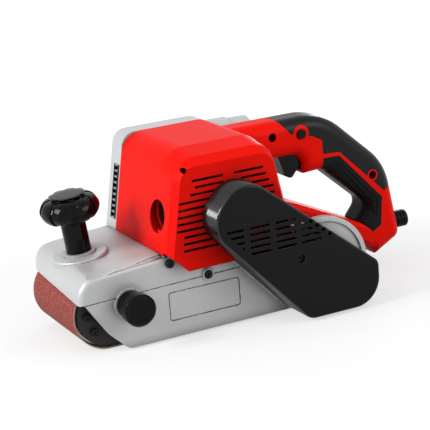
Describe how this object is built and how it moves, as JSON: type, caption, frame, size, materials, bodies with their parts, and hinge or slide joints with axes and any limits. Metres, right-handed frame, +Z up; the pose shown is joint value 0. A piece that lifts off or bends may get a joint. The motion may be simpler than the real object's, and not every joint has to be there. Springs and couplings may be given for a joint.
{
  "type": "belt sander",
  "caption": "Hand-held electric belt sander with a wide abrasive belt on two rollers, a motor across it, a side drive belt, a D-shaped rear handle and a round front knob.",
  "frame": {"origin": "on the sanding plane, under the centre of the sanding plate", "axes": "+X forward to the front knob, +Y to the operator's left (drive side), +Z up"},
  "size_m": [0.3825, 0.1733, 0.17],
  "materials": {
    "cast_frame": "silver paint on a casting",
    "cast_end": "silver paint on a casting",
    "red_shell": "satin",
    "black_shell": "satin",
    "gloss_black": "glossy",
    "grip_rubber": "matt",
    "abrasive": "gritty",
    "steel": "ground",
    "black_screws": "black oxide",
    "black_iron": "black",
    "laminations": "stacked sheets",
    "copper": "varnished",
    "carbon": "matt",
    "bare_aluminium": "turned",
    "cork": "pressed cork and graphite"
  },
  "bodies": {
    "frame": {"belt_cover": "black_shell", "brush_caps": "black_shell", "brush_holders": "copper", "carbon_brushes": "carbon", "cord_clamp": "black_shell", "cord_gland": "grip_rubber", "deck_screws": "steel", "drive_bearings": "steel", "drive_belt": "grip_rubber", "dust_spigot": "cast_end", "end_housing_screws": "black_screws", "exhaust_grille": "black_shell", "fan_baffle": "black_shell", "field_windings": "copper", "frame_screws": "black_screws", "front_knob": "gloss_black", "grip_lower_left": "grip_rubber", "grip_lower_right": "grip_rubber", "grip_upper_left": "grip_rubber", "grip_upper_right": "grip_rubber", "housing_left": "red_shell", "housing_right": "red_shell", "housing_screws": "black_screws", "knob_stud": "steel", "lever_pin": "steel", "main_frame": "cast_frame", "motor_bearings": "steel", "motor_end_housing": "cast_end", "platen_pad": "cork", "platen_screws": "steel", "platen_sheet": "steel", "sanding_belt": "abrasive", "stator_core": "laminations", "switch_body": "black_shell", "tension_spring": "steel", "trigger_pin": "steel"},
    "armature": {"armature_shaft": "steel", "armature_core": "laminations", "armature_windings": "copper", "commutator": "copper", "cooling_fan": "black_shell", "motor_pulley": "bare_aluminium"},
    "drive_roller": {"drive_roller_core": "bare_aluminium", "drive_roller_tyre": "grip_rubber", "drive_shaft": "steel", "driven_pulley": "bare_aluminium", "pulley_nut": "steel"},
    "front_roller": {"front_roller": "bare_aluminium", "front_bearings": "steel"},
    "tracking_fork": {"tracking_yoke": "black_iron", "yoke_screws": "steel", "front_axle": "steel"},
    "tension_carriage": {"tension_carriage": "black_iron", "pivot_stud": "steel"},
    "tension_lever": {"tension_lever": "black_iron"},
    "tracking_knob": {"tracking_knob": "gloss_black", "tracking_screw": "steel"},
    "trigger": {"trigger": "gloss_black"},
    "lock_button": {"lock_button": "gloss_black"}
  },
  "joints": [
    {"name": "drive_roller_spin", "type": "hinge", "parent": "frame", "child": "drive_roller", "pos_m": [-0.10447, 0, 0.0325], "axis": [0, 1, 0], "continuous": true},
    {"name": "armature_spin", "type": "hinge", "parent": "frame", "child": "armature", "pos_m": [-0.018, 0, 0.111], "axis": [0, 1, 0], "continuous": true},
    {"name": "tension_slide", "type": "slide", "parent": "frame", "child": "tension_carriage", "axis": [1, 0, 0], "range_m": [-0.006, 0], "deforming": ["tension_spring"]},
    {"name": "tracking_tilt", "type": "hinge", "parent": "tension_carriage", "child": "tracking_fork", "pos_m": [0.053, 0, 0.0325], "axis": [0, 0, 1], "range_deg": [-0.62, 0.62]},
    {"name": "front_roller_spin", "type": "hinge", "parent": "tracking_fork", "child": "front_roller", "pos_m": [0.1, 0, 0.0325], "axis": [0, 1, 0], "continuous": true},
    {"name": "tension_lever_swing", "type": "hinge", "parent": "frame", "child": "tension_lever", "pos_m": [0.024, -0.043, 0.0325], "axis": [0, 0, 1], "range_deg": [0, 90]},
    {"name": "tracking_knob_turn", "type": "hinge", "parent": "frame", "child": "tracking_knob", "pos_m": [0.0853, 0.09, 0.0435], "axis": [0, 1, 0], "range_deg": [-120, 120]},
    {"name": "trigger_pull", "type": "hinge", "parent": "frame", "child": "trigger", "pos_m": [-0.1, 0, 0.1415], "axis": [0, 1, 0], "range_deg": [0, 9], "stiffness_Nm_per_rad": 0.6, "springref_deg": -5.73},
    {"name": "lock_button_push", "type": "slide", "parent": "frame", "child": "lock_button", "axis": [0, -1, 0], "range_m": [0, 0.002], "stiffness_N_per_m": 400, "springref_m": -0.002}
  ],
  "couplings": [
    {"joint": "armature_spin", "follows": "drive_roller_spin", "ratio": 2.6383},
    {"joint": "front_roller_spin", "follows": "drive_roller_spin", "ratio": 1},
    {"joint": "tracking_tilt", "follows": "tracking_knob_turn", "ratio": 0.005},
    {"joint": "tension_lever_swing", "follows": "tension_slide", "rad_per_m": -261}
  ]
}
